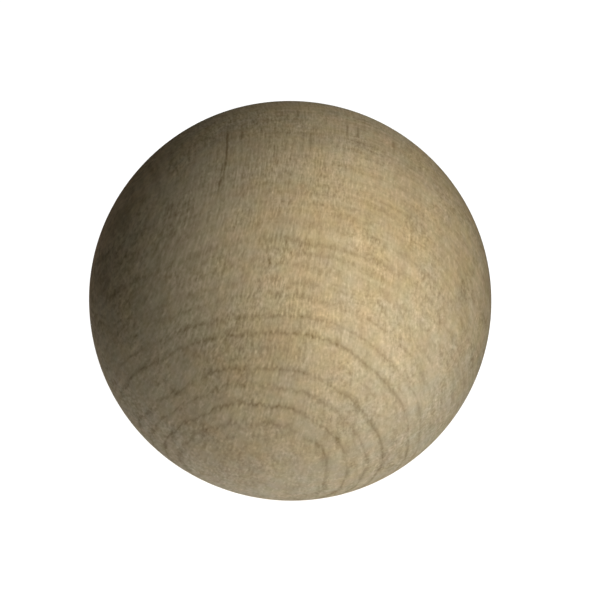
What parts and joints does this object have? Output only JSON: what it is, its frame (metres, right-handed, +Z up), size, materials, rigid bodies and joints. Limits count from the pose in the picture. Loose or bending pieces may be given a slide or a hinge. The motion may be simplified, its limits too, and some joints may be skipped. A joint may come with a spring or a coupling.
{
  "type": "wooden ball",
  "caption": "Solid round ball of pale bare hardwood, turned and sanded smooth, with growth rings showing and no hole or flat.",
  "frame": {"origin": "centre of the ball", "axes": "+Z up; the ball is round about every axis"},
  "size_m": [0.05, 0.05, 0.05],
  "materials": {
    "bare_wood": "sanded, unvarnished, matt"
  },
  "bodies": {
    "root": {"ball": "bare_wood"}
  },
  "joints": []
}
